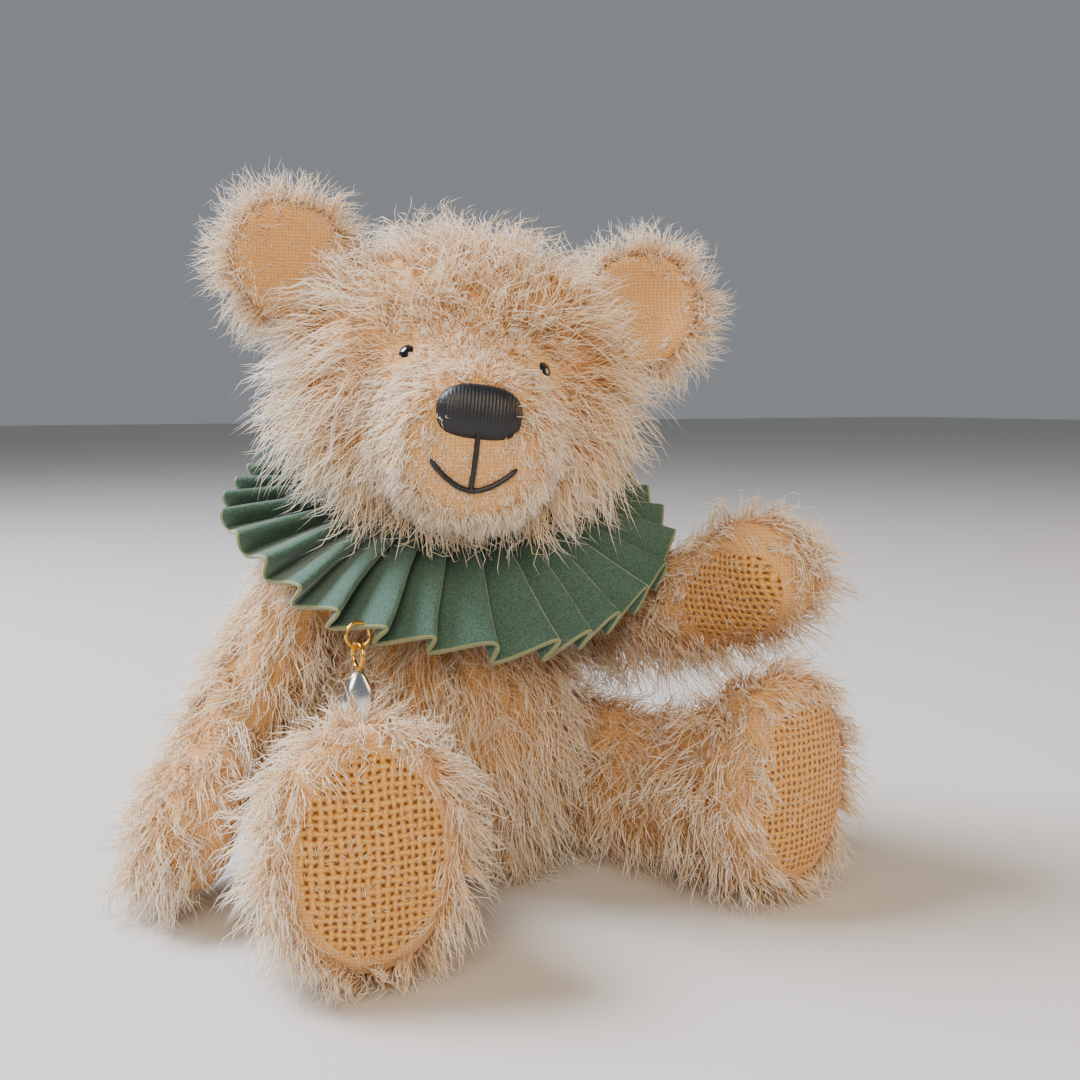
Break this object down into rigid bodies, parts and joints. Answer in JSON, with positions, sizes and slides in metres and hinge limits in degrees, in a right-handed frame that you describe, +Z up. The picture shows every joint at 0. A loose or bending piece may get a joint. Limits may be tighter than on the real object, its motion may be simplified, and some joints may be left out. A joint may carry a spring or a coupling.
{
  "type": "jointed teddy bear",
  "caption": "Small sitting jointed mohair teddy bear with disc joints, woven paw pads and a pleated velvet ribbon ruff.",
  "frame": {"origin": "on the flat seat of the torso, under the neck, where the bear rests on a surface", "axes": "+Z up, the bear faces -Y, its own left side is +X"},
  "size_m": [0.082, 0.0698, 0.0874],
  "materials": {
    "black_glass": "polished black bead",
    "clipped_mohair": "clipped mohair",
    "gathering_thread": "sewing thread",
    "gilt_wire": "polished",
    "hardboard": "pressed hardboard",
    "mohair": "sparse long mohair",
    "pad_cloth": "coarse plain weave",
    "sewing_thread": "sewing thread",
    "silver": "cast silver, satin",
    "steel": "zinc plated",
    "stuffing": "teased polyester fibre",
    "velvet": "pleated velvet ribbon",
    "waxed_thread": "waxed thread"
  },
  "bodies": {
    "torso": {"charm_clasp": "gilt_wire", "left_hip_torso_disc": "hardboard", "left_shoulder_torso_disc": "hardboard", "neck_torso_disc": "hardboard", "right_hip_torso_disc": "hardboard", "right_shoulder_torso_disc": "hardboard", "ruff": "velvet", "ruff_gathering_thread": "gathering_thread", "torso_closing_stitches": "sewing_thread", "torso_left_panel": "mohair", "torso_right_panel": "mohair", "torso_stuffing": "stuffing", "torso_washers": "steel"},
    "head": {"head_disc": "hardboard", "head_gusset": "mohair", "head_left_panel": "mohair", "head_right_panel": "mohair", "head_stuffing": "stuffing", "head_washer": "steel", "left_ear_back": "mohair", "left_ear_front": "clipped_mohair", "left_eye": "black_glass", "mouth_stitches": "waxed_thread", "neck_split_pin": "steel", "nose": "waxed_thread", "right_ear_back": "mohair", "right_ear_front": "clipped_mohair", "right_eye": "black_glass"},
    "left_arm": {"left_arm_disc": "hardboard", "left_arm_inner_panel": "mohair", "left_arm_outer_panel": "mohair", "left_arm_split_pin": "steel", "left_arm_stuffing": "stuffing", "left_arm_washer": "steel", "left_paw_pad": "pad_cloth"},
    "right_arm": {"right_arm_disc": "hardboard", "right_arm_inner_panel": "mohair", "right_arm_outer_panel": "mohair", "right_arm_split_pin": "steel", "right_arm_stuffing": "stuffing", "right_arm_washer": "steel", "right_paw_pad": "pad_cloth"},
    "left_leg": {"left_foot_pad": "pad_cloth", "left_leg_disc": "hardboard", "left_leg_inner_panel": "mohair", "left_leg_outer_panel": "mohair", "left_leg_split_pin": "steel", "left_leg_stuffing": "stuffing", "left_leg_washer": "steel"},
    "right_leg": {"right_foot_pad": "pad_cloth", "right_leg_disc": "hardboard", "right_leg_inner_panel": "mohair", "right_leg_outer_panel": "mohair", "right_leg_split_pin": "steel", "right_leg_stuffing": "stuffing", "right_leg_washer": "steel"},
    "charm": {"charm_drop": "silver", "charm_ring": "gilt_wire"}
  },
  "joints": [
    {"name": "neck_turn", "type": "hinge", "parent": "torso", "child": "head", "pos_m": [0, -0.0015, 0.0495], "axis": [-0.097, -0.3618, 0.9272], "continuous": true},
    {"name": "left_arm_swing", "type": "hinge", "parent": "torso", "child": "left_arm", "pos_m": [0.0122, 0.0036, 0.0362], "axis": [0.8688, 0.2823, 0.4067], "range_deg": [-2, 122]},
    {"name": "right_arm_swing", "type": "hinge", "parent": "torso", "child": "right_arm", "pos_m": [-0.0122, 0.0036, 0.0362], "axis": [-0.8688, 0.2823, 0.4067], "range_deg": [-58, 54]},
    {"name": "left_leg_swing", "type": "hinge", "parent": "torso", "child": "left_leg", "pos_m": [0.01095, 0.00233, 0.0112], "axis": [0.9781, 0.2079, 0], "range_deg": [0, 90]},
    {"name": "right_leg_swing", "type": "hinge", "parent": "torso", "child": "right_leg", "pos_m": [-0.01095, 0.00233, 0.0112], "axis": [-0.9781, 0.2079, 0], "range_deg": [-90, 0]},
    {"name": "charm_swing", "type": "hinge", "parent": "torso", "child": "charm", "pos_m": [-0.021, -0.019, 0.0339], "axis": [1, 0, 0], "range_deg": [-12, 12]}
  ]
}
